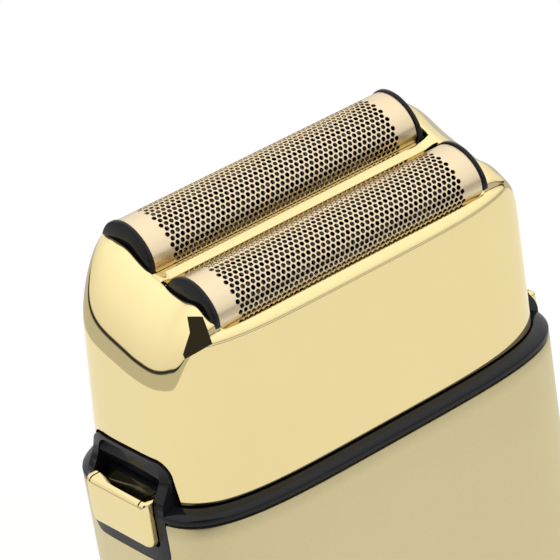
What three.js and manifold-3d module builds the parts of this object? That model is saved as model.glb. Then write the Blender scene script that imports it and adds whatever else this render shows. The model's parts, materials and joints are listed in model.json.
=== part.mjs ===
// Twin-foil shaver, standing on its base. Millimetres, +Z up, foils along X, front towards -Y.
// The origin is the middle of the base. The cutting head leans forward, so everything on it is
// built in its own tilted frame, whose z = 0 is the plane of the lip round the foils.
import * as THREE from "three";
import { mergeVertices } from "three/addons/utils/BufferGeometryUtils.js";
import Module from "manifold-3d";

const wasm = await Module();
wasm.setup();
const { Manifold, Mesh: SolidMesh } = wasm;

// ---- Driving dimensions ----
const GAP = 0.3; // between pieces that meet
const SIDES = 48; // points round a body outline
const CORNER_POWER = 4.2; // superellipse power of the body and head outlines

const RING_X = 32; // half width and half depth of the body and its trim ring
const RING_Y = 15.9;
const RING_LOW = 76.5;
const RING_HIGH = 78;
const BODY_WALL = 1.5;
const CHASSIS_WALL = 1.4;

const HEAD_LOW = 78.3;
const HEAD_X = 30.2; // half width and half depth of the head's lower edge
const HEAD_Y = 14.15;
const HEAD_WALL = 1.25;
const SHOULDER_X = 29.8; // the same at the lip's plane
const SHOULDER_Y = 12.85;

const TILT = THREE.MathUtils.degToRad(19.6);
const LIP_CENTRE = new THREE.Vector3(0, -1.6, 104.05);
const BAY_X = 22.6; // half length and half width of the opening that holds the foils
const BAY_Y = 11.15;
const BAY_CORNER_POWER = 14;
const END_DROP = 8.6; // how far down the rounded ends reach
const EDGE_DROP = 0.7; // how far down the front and back edges are rounded
const LOBE_HALF_WIDTH = 11.6;
const REAR_SLOT_LOW = -1.9; // the rear wall leans in below this

const FOIL_Y = 6.23; // each foil's axis from the middle
const FOIL_HALF_LENGTH = 21.4;
const FOIL_HALF_WIDTH = 4.59;
const FOIL_RISE = 3.72;
const FOIL_SHEET = 0.35;
const FOIL_SKIRT = 1.5;
const BAR_HALF_WIDTH = 0.95;

const CUTTER_HALF_LENGTH = 20;
const CUTTER_HALF_WIDTH = 3.3;
const CUTTER_RISE = 3;
const BLADE_COUNT = 18;
const BLADE_THICKNESS = 0.9;
const STROKE = 1.2; // of each cutter to either side, and the cam's eccentricity

const BUTTON_FACE_X = 33.3;
const BUTTON_HALF_Y = 6;
const BUTTON_LOW = 72.6;
const BUTTON_HIGH = 79.2;
const BEZEL_LOW = 70.2;
const BEZEL_HIGH = 83.8;
const BEZEL_HALF_Y = 7.7;
const BEZEL_INNER_X = 28.2;

const DECK_LOW = 75;
const DECK_HIGH = 81.6;
const TOWER_HIGH = 88;
const DECK_SCREW = { x: 18.5, y: 7.5 };
const POWER_BUTTON_Z = 50;
const POWER_BUTTON_RADIUS = 6.2;
const BATTERY_Z = 19;
const MOTOR_LOW = 36;
const MOTOR_HIGH = 68;
const ROWS = [
  ["front", -FOIL_Y],
  ["rear", FOIL_Y],
];
const FRONT_POST_Y = -4.9; // where each oscillator's post rises through the deck
const REAR_POST_Y = 6.8;
const DECK_SCREW_PLACES = [
  [-DECK_SCREW.x, -DECK_SCREW.y],
  [DECK_SCREW.x, -DECK_SCREW.y],
  [-DECK_SCREW.x, DECK_SCREW.y],
  [DECK_SCREW.x, DECK_SCREW.y],
];
const BASE_SCREW_X = [-14, 14];
const BOARD_SCREW_PLACES = [
  [-11, 42],
  [11, 58],
];

// ---- Materials ----
function finish(color, metalness, roughness) {
  return new THREE.MeshStandardMaterial({ color, metalness, roughness });
}
const MIRROR_GOLD = finish(0xe8cf86, 1, 0.06);
const SATIN_GOLD = finish(0xd0bb84, 1, 0.35);
const FOIL_METAL = finish(0xd8c39a, 1, 0.25);
const GLOSS_BLACK = finish(0x17181b, 0, 0.15);
const MATTE_BLACK = finish(0x202022, 0, 0.6);
const STEEL = finish(0xb8b8b8, 1, 0.3);
const WHITE_PLASTIC = finish(0xd9d6cc, 0, 0.5);
const RUBBER = finish(0x151515, 0, 0.9);
const BOARD_GREEN = finish(0x1d5a35, 0, 0.5);
const BATTERY_WRAP = finish(0x2f6f9f, 0, 0.4);
const CLEAR_LENS = finish(0xf2f2ee, 0, 0.1);

// ---- Solids and booleans ----
function toSolid(geometry) {
  const bare = geometry.index ? geometry.toNonIndexed() : geometry.clone();
  bare.deleteAttribute("normal");
  bare.deleteAttribute("uv");
  const merged = mergeVertices(bare, 1e-4);
  const vertProperties = new Float32Array(merged.attributes.position.array);
  const triVerts = new Uint32Array(merged.index.array);
  return new Manifold(new SolidMesh({ numProp: 3, vertProperties, triVerts }));
}

function toGeometry(solid) {
  const mesh = solid.getMesh();
  const geometry = new THREE.BufferGeometry();
  geometry.setAttribute("position", new THREE.BufferAttribute(new Float32Array(mesh.vertProperties), 3));
  geometry.setIndex(new THREE.BufferAttribute(new Uint32Array(mesh.triVerts), 1));
  geometry.computeVertexNormals();
  return geometry;
}

function join(first, ...others) {
  let solid = toSolid(first);
  for (const other of others) {
    solid = solid.add(toSolid(other));
  }
  return toGeometry(solid);
}

function cut(first, ...others) {
  let solid = toSolid(first);
  for (const other of others) {
    solid = solid.subtract(toSolid(other));
  }
  return toGeometry(solid);
}

// ---- Plain shapes ----
function block(x0, x1, y0, y1, z0, z1) {
  const geometry = new THREE.BoxGeometry(x1 - x0, y1 - y0, z1 - z0);
  return geometry.translate((x0 + x1) / 2, (y0 + y1) / 2, (z0 + z1) / 2);
}

function upright(radius, x, y, z0, z1, sides = 24) {
  const geometry = new THREE.CylinderGeometry(radius, radius, z1 - z0, sides);
  return geometry.rotateX(Math.PI / 2).translate(x, y, (z0 + z1) / 2);
}

function alongX(radius, x0, x1, y, z, sides = 24) {
  const geometry = new THREE.CylinderGeometry(radius, radius, x1 - x0, sides);
  return geometry.rotateZ(Math.PI / 2).translate((x0 + x1) / 2, y, z);
}

function alongY(radius, y0, y1, x, z, sides = 24) {
  return new THREE.CylinderGeometry(radius, radius, y1 - y0, sides).translate(x, (y0 + y1) / 2, z);
}

// The lower and upper limit of a stretch from "near" to "far" on one side of the middle.
function span(side, near, far) {
  return side > 0 ? [near, far] : [-far, -near];
}

function mirrored(geometry, side) {
  return side > 0 ? geometry : geometry.clone().rotateZ(Math.PI);
}

// A closed outline drawn in x and y, extruded along X with the outline's x along Y and y along Z.
function sectionAlongX(points, x0, x1) {
  const geometry = new THREE.ExtrudeGeometry(new THREE.Shape(points), { depth: x1 - x0, bevelEnabled: false });
  const turn = new THREE.Matrix4().makeBasis(
    new THREE.Vector3(0, 1, 0),
    new THREE.Vector3(0, 0, 1),
    new THREE.Vector3(1, 0, 0),
  );
  return geometry.applyMatrix4(turn).translate(x0, 0, 0);
}

// The same with the outline's x along X and y along Z, extruded along Y.
function sectionAlongY(points, y0, y1) {
  const geometry = new THREE.ExtrudeGeometry(new THREE.Shape(points), { depth: y1 - y0, bevelEnabled: false });
  return geometry.rotateX(Math.PI / 2).translate(0, y1, 0);
}

function signedPower(value, power) {
  return Math.sign(value) * Math.abs(value) ** power;
}

function outlinePoint(index, halfX, halfY, power) {
  const angle = (2 * Math.PI * index) / SIDES;
  const x = halfX * signedPower(Math.cos(angle), 2 / power);
  const y = halfY * signedPower(Math.sin(angle), 2 / power);
  return new THREE.Vector2(x, y);
}

function levelRing(halfX, halfY, z) {
  const ring = [];
  for (let i = 0; i < SIDES; i += 1) {
    const point = outlinePoint(i, halfX, halfY, CORNER_POWER);
    ring.push(new THREE.Vector3(point.x, point.y, z));
  }
  return ring;
}

// A closed solid through a stack of rings, each anticlockwise seen from above.
function loft(rings) {
  const count = rings[0].length;
  const points = rings.flat();
  const triangles = [];
  for (let level = 0; level < rings.length - 1; level += 1) {
    for (let i = 0; i < count; i += 1) {
      const low = level * count;
      const next = (i + 1) % count;
      triangles.push(low + i, low + next, low + count + next);
      triangles.push(low + i, low + count + next, low + count + i);
    }
  }
  const closeEnd = (ring, first, upwards) => {
    const middle = ring.reduce((sum, point) => sum.add(point), new THREE.Vector3()).divideScalar(count);
    const hub = points.push(middle) - 1;
    for (let i = 0; i < count; i += 1) {
      const next = (i + 1) % count;
      triangles.push(hub, first + (upwards ? i : next), first + (upwards ? next : i));
    }
  };
  closeEnd(rings[0], 0, false);
  closeEnd(rings[rings.length - 1], (rings.length - 1) * count, true);
  const geometry = new THREE.BufferGeometry().setFromPoints(points);
  geometry.setIndex(triangles);
  return geometry;
}

class Helix extends THREE.Curve {
  constructor(radius, height, turns) {
    super();
    Object.assign(this, { radius, height, turns });
  }
  getPoint(t, target = new THREE.Vector3()) {
    const angle = 2 * Math.PI * this.turns * t;
    return target.set(this.radius * Math.cos(angle), this.radius * Math.sin(angle), this.height * t);
  }
}

// A compression spring that stands on z = 0.
function coilSpring(radius, height, turns, wire) {
  const corners = Array.from({ length: 5 }, (_, i) => (2 * Math.PI * i) / 5);
  const section = new THREE.Shape(corners.map((a) => new THREE.Vector2(wire * Math.cos(a), wire * Math.sin(a))));
  const path = new Helix(radius, height - 2 * wire, turns);
  const options = { steps: Math.round(turns * 9), extrudePath: path, bevelEnabled: false };
  return new THREE.ExtrudeGeometry(section, options).translate(0, 0, wire);
}

function screwSolid(x, y, headLow, headHigh, tipZ, headRadius = 1.8) {
  const head = upright(headRadius, x, y, headLow, headHigh, 12);
  const shank = upright(0.95, x, y, Math.min(tipZ, headLow), Math.max(tipZ, headHigh) - 0.2, 8);
  return join(head, shank);
}

// ---- The head's own shape ----
const headFrame = new THREE.Group();
headFrame.position.copy(LIP_CENTRE);
headFrame.rotation.x = TILT;
headFrame.updateMatrix();
const fromHeadFrame = headFrame.matrix.clone();
const toHeadFrame = fromHeadFrame.clone().invert();

// Takes a geometry from the head's tilted frame to the shaver's own.
function tilted(geometry) {
  return geometry.clone().applyMatrix4(fromHeadFrame);
}

// How far the rounding reaches down the wall: a parabola across each end, little at front and back.
function shoulderDrop(y) {
  const lobe = 1 - (y / LOBE_HALF_WIDTH) ** 2;
  return EDGE_DROP + (END_DROP - EDGE_DROP) * 0.5 * (lobe + Math.hypot(lobe, 0.1));
}

// Height of the bay's rim: two low humps over the foils at each end, level at front and back.
function rimHeight(x, y) {
  const end = THREE.MathUtils.smoothstep(Math.abs(x), BAY_X - 2, BAY_X);
  const hump = Math.exp(-(((Math.abs(y) - 7.2) / 2.6) ** 2));
  return 0.1 + end * (0.7 + hump);
}

// Rings in the tilted frame, from the head's lower edge up its wall and over its rounded shoulder.
// "inset" moves the surface inwards, and "sink" down, for the hollow inside.
function headRings(baseZ, inset, sink, shoulderSteps) {
  const rings = Array.from({ length: shoulderSteps + 2 }, () => []);
  for (let i = 0; i < SIDES; i += 1) {
    const low = outlinePoint(i, HEAD_X - inset, HEAD_Y - inset, CORNER_POWER);
    const base = new THREE.Vector3(low.x, low.y, baseZ).applyMatrix4(toHeadFrame);
    const high = outlinePoint(i, SHOULDER_X - inset, SHOULDER_Y - 0.8 * inset, CORNER_POWER);
    const top = new THREE.Vector3(high.x, high.y, 0);
    const drop = shoulderDrop(top.y) + sink;
    const wallEnd = base.clone().lerp(top, (-drop - base.z) / -base.z);
    const rim = outlinePoint(i, BAY_X + 0.6 * inset, BAY_Y + 0.5 * inset, BAY_CORNER_POWER);
    const rimZ = sink > 0 ? -sink : rimHeight(rim.x, rim.y);
    rings[0].push(base);
    for (let step = 0; step <= shoulderSteps; step += 1) {
      const angle = (step / shoulderSteps) * (Math.PI / 2);
      const across = 1 - Math.cos(angle);
      const x = THREE.MathUtils.lerp(wallEnd.x, rim.x, across);
      const y = THREE.MathUtils.lerp(wallEnd.y, rim.y, across);
      const z = THREE.MathUtils.lerp(-drop, rimZ, Math.sin(angle));
      rings[step + 1].push(new THREE.Vector3(x, y, z));
    }
  }
  return rings;
}

function headCover() {
  const outside = headRings(HEAD_LOW, 0, 0, 5);
  const hollow = headRings(HEAD_LOW - 3, HEAD_WALL, 1.4, 3);
  const slots = [
    block(-BAY_X, BAY_X, 0.05 - BAY_Y, -BAR_HALF_WIDTH, -4, 6),
    block(-BAY_X, BAY_X, BAR_HALF_WIDTH, BAY_Y - 0.05, REAR_SLOT_LOW, 6),
  ];
  const notchReach = BEZEL_HALF_Y + GAP;
  const notches = [-1, 1].map((side) => {
    return block(...span(side, 27, 33), -notchReach, notchReach, 70, BEZEL_HIGH + GAP);
  });
  const shell = cut(loft(outside), loft(hollow), ...slots);
  return cut(tilted(shell), ...notches);
}

// ---- Foil assembly, in the tilted frame ----
function archPoints(centreY, halfWidth, rise, skirt, steps) {
  const points = [new THREE.Vector2(centreY + halfWidth, -skirt)];
  for (let i = 0; i <= steps; i += 1) {
    const angle = (Math.PI * i) / steps;
    points.push(new THREE.Vector2(centreY + halfWidth * Math.cos(angle), rise * Math.sin(angle)));
  }
  points.push(new THREE.Vector2(centreY - halfWidth, -skirt));
  return points;
}

function foil(centreY) {
  const outer = archPoints(centreY, FOIL_HALF_WIDTH, FOIL_RISE, FOIL_SKIRT, 16);
  const inner = archPoints(centreY, FOIL_HALF_WIDTH - FOIL_SHEET, FOIL_RISE - FOIL_SHEET, FOIL_SKIRT, 16);
  return sectionAlongX([...outer, ...inner.reverse()], -FOIL_HALF_LENGTH, FOIL_HALF_LENGTH);
}

function foilCap(centreY, side) {
  const x0 = FOIL_HALF_LENGTH + GAP;
  const x1 = BAY_X - GAP;
  const plate = sectionAlongX(archPoints(0, FOIL_HALF_WIDTH, FOIL_RISE + 0.35, 1.1, 12), x0, x1);
  return mirrored(plate, side).translate(0, centreY, 0);
}

// Rails along the front and back, a rib under the bar, and an end plate and a leg at each end.
function foilFrame() {
  const low = -3.4;
  const high = -1.9;
  const railEnd = 22;
  const frontRail = [-11.55, -11.02];
  const rearRail = [9.5, 9.9];
  const legOut = BEZEL_INNER_X - GAP;
  const pieces = [block(-railEnd, railEnd, -0.6, 0.6, -3.4, high)];
  pieces.push(block(-railEnd, railEnd, ...frontRail, low, high));
  pieces.push(block(-railEnd, railEnd, ...rearRail, low, high));
  for (const side of [-1, 1]) {
    pieces.push(block(...span(side, railEnd - 0.5, railEnd + 0.1), frontRail[0], rearRail[1], low, high));
    pieces.push(block(...span(side, railEnd, 23.2), -8, 6.5, -11, high));
    pieces.push(block(...span(side, railEnd, legOut), -5, 3, -11, -9.8));
  }
  const legs = [-1, 1].map((side) => block(...span(side, 26.4, legOut), -4, 3, DECK_HIGH - 1, 93.6));
  return join(tilted(join(...pieces)), ...legs);
}

// ---- Cutters and the drive that shakes them ----
function cutterComb(centreY) {
  const length = 2 * CUTTER_HALF_LENGTH;
  const blades = [];
  for (let i = 0; i < BLADE_COUNT; i += 1) {
    const x = -CUTTER_HALF_LENGTH + (length - BLADE_THICKNESS) * (i / (BLADE_COUNT - 1));
    const arch = archPoints(centreY, CUTTER_HALF_WIDTH, CUTTER_RISE, 0.5, 9);
    blades.push(sectionAlongX(arch, x, x + BLADE_THICKNESS));
  }
  const spine = block(-CUTTER_HALF_LENGTH, CUTTER_HALF_LENGTH, centreY - 1.2, centreY + 1.2, -1.3, 0.8);
  return join(spine, ...blades);
}

function cutterCarrier(centreY) {
  const bed = block(-17, 17, centreY - 1.9, centreY + 1.9, -3.3, -1.3 - GAP);
  const stems = [-5, 5].map((x) => upright(1, x, centreY, -8.4, -3, 8));
  return join(bed, ...stems);
}

// A lower plate with a window round the cam, a post through the deck, and a tilted bar on top.
function oscillator(centreY, postY, plate, window) {
  const bar = block(-13, 13, centreY - 1.5, centreY + 1.5, -8.2, -7);
  const holes = [-5, 5].map((x) => upright(1.4, x, centreY, -9, -6, 8));
  const barTop = new THREE.Vector3(0, centreY, -7.6).applyMatrix4(fromHeadFrame);
  const post = block(-2, 2, postY - 1.2, postY + 1.2, plate.z, barTop.z - 0.2);
  const base = block(-plate.x, plate.x, plate.y0, plate.y1, plate.z, plate.z + 1.2);
  const opening = block(-window.x, window.x, -window.y, window.y, plate.z - 1, plate.z + 3);
  return join(cut(base, opening), post, tilted(cut(bar, ...holes)));
}

function driveDeck() {
  const deck = loft([levelRing(23, 11.7, DECK_LOW), levelRing(23, 11.7, DECK_HIGH)]);
  const flange = loft([levelRing(25.6, 12, DECK_HIGH - 1.3), levelRing(25.6, 12, DECK_HIGH)]);
  const tower = block(-12, 12, -10.2, 10.2, DECK_HIGH - 1, TOWER_HIGH);
  const room = block(-10.5, 10.5, -8.6, 8.6, DECK_LOW - 1, TOWER_HIGH - 1.5);
  const postHoles = [FRONT_POST_Y, REAR_POST_Y].map((y) => {
    return block(-3.7, 3.7, y - 1.6, y + 1.6, TOWER_HIGH - 3, TOWER_HIGH + 1);
  });
  const screwHoles = DECK_SCREW_PLACES.map(([x, y]) => upright(1.3, x, y, DECK_LOW - 1, DECK_HIGH + 1, 8));
  return cut(join(deck, flange, tower), room, ...postHoles, ...screwHoles);
}

function hairSeal() {
  const outer = block(-14, 14, -11.4, 11.4, DECK_HIGH + GAP, DECK_HIGH + 1.5);
  return cut(outer, block(-12.3, 12.3, -10.5, 10.5, DECK_HIGH - 1, DECK_HIGH + 3));
}

function postSeal(y) {
  const low = TOWER_HIGH + GAP;
  const outer = block(-5.4, 5.4, y - 2.6, y + 2.6, low, low + 1.4);
  return cut(outer, block(-3.7, 3.7, y - 1.6, y + 1.6, low - 1, low + 3));
}

function eccentricCam() {
  const disc = upright(3.6, 0, 0, 74.6, 76.3);
  const lowEccentric = upright(1.6, STROKE, 0, 76, 79.6, 16);
  const highEccentric = upright(1.1, -STROKE, 0, 76, 82.2, 16);
  const shaftHole = upright(1.3, 0, 0, 74, 75.8, 12);
  return cut(join(disc, lowEccentric, highEccentric), shaftHole);
}

function motor() {
  const can = upright(10, 0, 0, MOTOR_LOW, MOTOR_HIGH, 32);
  const flats = [-1, 1].map((side) => block(-12, 12, ...span(side, 7.7, 12), MOTOR_LOW - 1, MOTOR_HIGH + 1));
  const boss = upright(3, 0, 0, MOTOR_HIGH - 1, MOTOR_HIGH + 1.8);
  const bore = upright(1.4, 0, 0, MOTOR_HIGH - 2, MOTOR_HIGH + 3, 12);
  const threads = [-7, 7].map((x) => upright(1.3, x, 0, MOTOR_HIGH - 3, MOTOR_HIGH + 1, 8));
  return cut(join(cut(can, ...flats), boss), bore, ...threads);
}

function motorBracket() {
  const plate = block(-15.6, 15.6, -11.5, 11.5, MOTOR_HIGH + GAP, MOTOR_HIGH + 2.3);
  const holes = [-7, 7].map((x) => upright(1.3, x, 0, MOTOR_HIGH - 1, MOTOR_HIGH + 4, 8));
  return cut(plate, upright(3.4, 0, 0, MOTOR_HIGH - 1, MOTOR_HIGH + 4), ...holes);
}

// ---- Trim ring and release buttons ----
function bezel(side) {
  const section = [
    [BEZEL_INNER_X, BEZEL_LOW],
    [RING_X, BEZEL_LOW],
    [RING_X, RING_HIGH],
    [30.5, BEZEL_HIGH],
    [BEZEL_INNER_X, BEZEL_HIGH],
  ];
  const points = section.map(([x, z]) => new THREE.Vector2(x, z));
  const body = sectionAlongY(points, -BEZEL_HALF_Y, BEZEL_HALF_Y);
  return mirrored(body, side);
}

function trimRing() {
  const band = loft([levelRing(RING_X, RING_Y, RING_LOW), levelRing(RING_X, RING_Y, RING_HIGH)]);
  const opening = loft([levelRing(29, 12.3, RING_LOW - 1), levelRing(29, 12.3, RING_HIGH + 1)]);
  const reach = BUTTON_HALF_Y + GAP;
  const pockets = [-1, 1].map((side) => {
    return block(...span(side, 25, 35), -reach, reach, BUTTON_LOW - GAP, BUTTON_HIGH + GAP);
  });
  const scoops = [-1, 1].map((side) => mirrored(alongY(3, -5.5, 5.5, 32.2, 80.4), side));
  const ring = cut(band, opening);
  return cut(join(ring, bezel(-1), bezel(1)), ...pockets, ...scoops);
}

function releaseButton(side) {
  const bevel = 0.6;
  const section = [
    [26.8, BUTTON_LOW],
    [BUTTON_FACE_X - bevel, BUTTON_LOW],
    [BUTTON_FACE_X, BUTTON_LOW + bevel],
    [BUTTON_FACE_X, BUTTON_HIGH - bevel],
    [BUTTON_FACE_X - bevel, BUTTON_HIGH],
    [26.8, BUTTON_HIGH],
  ];
  const points = section.map(([x, z]) => new THREE.Vector2(x, z));
  const cap = sectionAlongY(points, -BUTTON_HALF_Y, BUTTON_HALF_Y);
  const flangeOut = BEZEL_INNER_X - GAP;
  const flange = block(26.8, flangeOut, -6.9, 6.9, BUTTON_LOW - 0.9, BUTTON_HIGH + 0.6);
  return mirrored(join(cap, flange), side);
}

function releaseSpring(side) {
  const spring = coilSpring(1.9, 3.2, 3, 0.3).rotateY(Math.PI / 2).translate(23.3, 0, 76);
  return mirrored(spring, side);
}

// ---- Body ----
// The body is straight in its upper part and draws in a little towards the base.
function bodyRing(z, inset, swell = 1) {
  const low = Math.max(0, 1 - z / 62);
  const draw = 1 - 0.04 * low * low;
  return levelRing((RING_X * draw - inset) * swell, (RING_Y * draw - inset) * swell, z);
}

function bodyShell() {
  const levels = [3, 14, 28, 44, 62, RING_LOW - GAP];
  const outside = loft(levels.map((z) => bodyRing(z, 0)));
  const inside = loft([1, ...levels.slice(1, -1), RING_LOW + 1].map((z) => bodyRing(z, BODY_WALL)));
  const reach = BEZEL_HALF_Y + GAP;
  const notches = [-1, 1].map((side) => block(...span(side, 25, 35), -reach, reach, BEZEL_LOW - GAP, 80));
  const buttonHole = alongY(POWER_BUTTON_RADIUS + GAP, -18, -10, 0, POWER_BUTTON_Z, 32);
  const lensHole = block(-3.3, 3.3, -18, -10, 34.9, 37.1);
  return cut(outside, inside, ...notches, buttonHole, lensHole);
}

// Half of the inner frame, split at y = 0, with bosses for the deck's screws, shelves for the motor's
// bracket and the circuit board and, on the rear half, the two bosses that the base is screwed to.
function chassisHalf(side) {
  const inset = BODY_WALL + 0.35;
  const outside = loft([5.6, 20, 40, 62, 69.6].map((z) => bodyRing(z, inset)));
  const inside = loft([4, 20, 40, 62, 71].map((z) => bodyRing(z, inset + CHASSIS_WALL)));
  const otherHalf = block(-40, 40, ...span(-side, -GAP / 2, 40), 0, 90);
  const shell = cut(outside, inside, otherHalf);
  const bosses = [-1, 1].map((end) => {
    return block(...span(end, 16, 21), ...span(side, 5.2, 12.9), 60, DECK_LOW - GAP);
  });
  const shelves = [28.6, 66.2].map((z) => block(-16, 16, ...span(side, 9.8, 12.9), z, z + 1.6));
  const holes = [-1, 1].map((end) => upright(1.3, end * DECK_SCREW.x, side * DECK_SCREW.y, 68, 80, 8));
  const solid = cut(join(shell, ...bosses, ...shelves), ...holes);
  return side < 0 ? frontOpenings(solid) : baseBosses(solid);
}

function frontOpenings(solid) {
  const button = alongY(7.6, -18, -8, 0, POWER_BUTTON_Z, 24);
  return cut(solid, button, block(-4, 4, -18, -8, 34.2, 37.8));
}

function baseBosses(solid) {
  const bosses = BASE_SCREW_X.map((x) => block(x - 3, x + 3, -3, 12.6, 5.6, 8.6));
  const holes = BASE_SCREW_X.map((x) => upright(1.3, x, 0, 4, 10, 8));
  return cut(join(solid, ...bosses), ...holes);
}

function bottomCap() {
  const foot = loft([
    bodyRing(0, 1.2),
    bodyRing(0.5, 0.35),
    bodyRing(1.3, 0),
    bodyRing(2.7, 0),
  ]);
  const plug = loft([bodyRing(2, BODY_WALL + 0.35), bodyRing(5.2, BODY_WALL + 0.35)]);
  const room = loft([bodyRing(3.2, 4.5), bodyRing(7, 4.5)]);
  const posts = BASE_SCREW_X.map((x) => upright(3, x, 0, 2, 5.2, 16));
  const headBores = BASE_SCREW_X.map((x) => upright(2.1, x, 0, -1, 1.8, 16));
  const shankBores = BASE_SCREW_X.map((x) => upright(1.3, x, 0, -1, 7, 8));
  const socketHole = upright(4.3, 0, 0, -1, 8);
  return cut(join(cut(join(foot, plug), room), ...posts), socketHole, ...headBores, ...shankBores);
}

// ---- Electrics ----
function chargingSocket() {
  const barrel = upright(4, 0, 0, 0.6, 9.4);
  const bore = upright(2.75, 0, 0, 0, 8);
  const pin = upright(0.8, 0, 0, 1.8, 8.5, 8);
  return join(cut(barrel, bore), pin);
}

function battery() {
  const can = alongX(9, -25, 25, 0, BATTERY_Z, 32);
  return join(can, alongX(2.6, 24.5, 25.7, 0, BATTERY_Z, 16));
}

function batteryContact(side) {
  const x0 = side > 0 ? 26 : 25.3;
  const plate = block(x0, x0 + 0.5, -6, 6, BATTERY_Z - 6, BATTERY_Z + 6);
  return mirrored(join(plate, block(x0 + 0.1, x0 + 0.5, -2, 2, BATTERY_Z, BATTERY_Z + 12)), side);
}

function circuitBoard() {
  const board = block(-13, 13, -11, -9.8, 32, 65.6);
  const holes = BOARD_SCREW_PLACES.map(([x, z]) => alongY(1.3, -12, -9, x, z, 8));
  return cut(board, ...holes);
}

function boardScrew(x, z) {
  const head = alongY(1.8, -12.1, -11.3, x, z, 12);
  return join(head, alongY(0.95, -11.5, -8.6, x, z, 8));
}

function powerButton() {
  const bodyFront = -RING_Y * (1 - 0.04 * Math.max(0, 1 - POWER_BUTTON_Z / 62) ** 2);
  const cap = alongY(POWER_BUTTON_RADIUS, bodyFront + 0.2, -13.4, 0, POWER_BUTTON_Z, 32);
  const flange = alongY(7.1, -13.95, -13.4, 0, POWER_BUTTON_Z, 32);
  const stem = alongY(1.5, -13.6, -13.2, 0, POWER_BUTTON_Z, 12);
  return join(cap, flange, stem);
}

// ---- Assembly ----
const shaver = new THREE.Group();
shaver.add(headFrame);

function place(name, geometry, material, parent = shaver) {
  const mesh = new THREE.Mesh(geometry, material);
  mesh.name = name;
  parent.add(mesh);
}

function addHead() {
  place("head_cover", headCover(), MIRROR_GOLD);
  place("foil_frame", foilFrame(), MATTE_BLACK);
  for (const [row, y] of ROWS) {
    place(`${row}_foil`, foil(y), FOIL_METAL, headFrame);
    place(`${row}_foil_left_cap`, foilCap(y, -1), GLOSS_BLACK, headFrame);
    place(`${row}_foil_right_cap`, foilCap(y, 1), GLOSS_BLACK, headFrame);
  }
}

function addCutters() {
  for (const [row, y] of ROWS) {
    place(`${row}_cutter`, cutterComb(y), STEEL, headFrame);
    place(`${row}_cutter_carrier`, cutterCarrier(y), WHITE_PLASTIC, headFrame);
    for (const [end, x] of [["left", -10.5], ["right", 10.5]]) {
      const spring = coilSpring(1.1, 3.1, 3, 0.22).translate(x, y, -6.7);
      place(`${row}_cutter_${end}_spring`, spring, STEEL, headFrame);
    }
  }
  const frontPlate = { x: 5.6, y0: -6.1, y1: 4.2, z: 77.6 };
  const rearPlate = { x: 5, y0: -3.3, y1: 8, z: 80.2 };
  place("front_oscillator", oscillator(-FOIL_Y, FRONT_POST_Y, frontPlate, { x: 4.3, y: 3.1 }), WHITE_PLASTIC);
  place("rear_oscillator", oscillator(FOIL_Y, REAR_POST_Y, rearPlate, { x: 3.8, y: 2.6 }), WHITE_PLASTIC);
}

function addDrive() {
  place("drive_deck", driveDeck(), MATTE_BLACK);
  place("hair_seal", hairSeal(), RUBBER);
  place("front_post_seal", postSeal(FRONT_POST_Y), RUBBER);
  place("rear_post_seal", postSeal(REAR_POST_Y), RUBBER);
  place("eccentric_cam", eccentricCam(), WHITE_PLASTIC);
  place("motor_shaft", upright(1, 0, 0, MOTOR_HIGH - 1.7, 75.5, 12), STEEL);
  place("motor", motor(), STEEL);
  place("motor_bracket", motorBracket(), STEEL);
  for (const [end, x] of [["left", -7], ["right", 7]]) {
    const screw = screwSolid(x, 0, MOTOR_HIGH + 2.6, MOTOR_HIGH + 3.8, MOTOR_HIGH - 2.4);
    place(`motor_${end}_screw`, screw, STEEL);
  }
  DECK_SCREW_PLACES.forEach(([x, y], index) => {
    place(`deck_screw_${index + 1}`, screwSolid(x, y, DECK_HIGH + GAP, DECK_HIGH + 1.5, 70), STEEL);
  });
}

function addBody() {
  place("trim_ring", trimRing(), GLOSS_BLACK);
  for (const [end, side] of [["left", -1], ["right", 1]]) {
    place(`${end}_release_button`, releaseButton(side), MIRROR_GOLD);
    place(`${end}_release_spring`, releaseSpring(side), STEEL);
  }
  place("body_shell", bodyShell(), SATIN_GOLD);
  place("front_chassis", chassisHalf(-1), MATTE_BLACK);
  place("rear_chassis", chassisHalf(1), MATTE_BLACK);
  place("bottom_cap", bottomCap(), GLOSS_BLACK);
  BASE_SCREW_X.forEach((x, index) => {
    place(`base_screw_${index + 1}`, screwSolid(x, 0, 0.5, 1.5, 7.6), STEEL);
  });
}

function addElectrics() {
  place("charging_socket", chargingSocket(), MATTE_BLACK);
  place("battery", battery(), BATTERY_WRAP);
  place("battery_positive_contact", batteryContact(1), STEEL);
  place("battery_negative_contact", batteryContact(-1), STEEL);
  place("circuit_board", circuitBoard(), BOARD_GREEN);
  BOARD_SCREW_PLACES.forEach(([x, z], index) => {
    place(`board_screw_${index + 1}`, boardScrew(x, z), STEEL);
  });
  const switchZ = POWER_BUTTON_Z;
  place("power_switch", block(-3, 3, -12.3, -11.3, switchZ - 3, switchZ + 3), MATTE_BLACK);
  place("power_button", powerButton(), MIRROR_GOLD);
  place("indicator_lens", block(-3, 3, -15.5, -13.2, 35.2, 36.8), CLEAR_LENS);
  place("indicator_led", block(-1.5, 1.5, -12.6, -11.3, 35.2, 36.8), CLEAR_LENS);
}

addHead();
addCutters();
addDrive();
addBody();
addElectrics();

export default shaver;
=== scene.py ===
"""The foil shaver's looks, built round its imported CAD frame.

Shapes are worked out in millimetres and stored in metres. +Z is up, the foils lie along X and the
front faces -Y. The head leans forward, so its pieces are shaped in a tilted frame whose z = 0 is the
plane of the lip round the foils.
"""
import json
import math

import bmesh
import bpy
import numpy as np
from mathutils import Matrix, Vector


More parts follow.
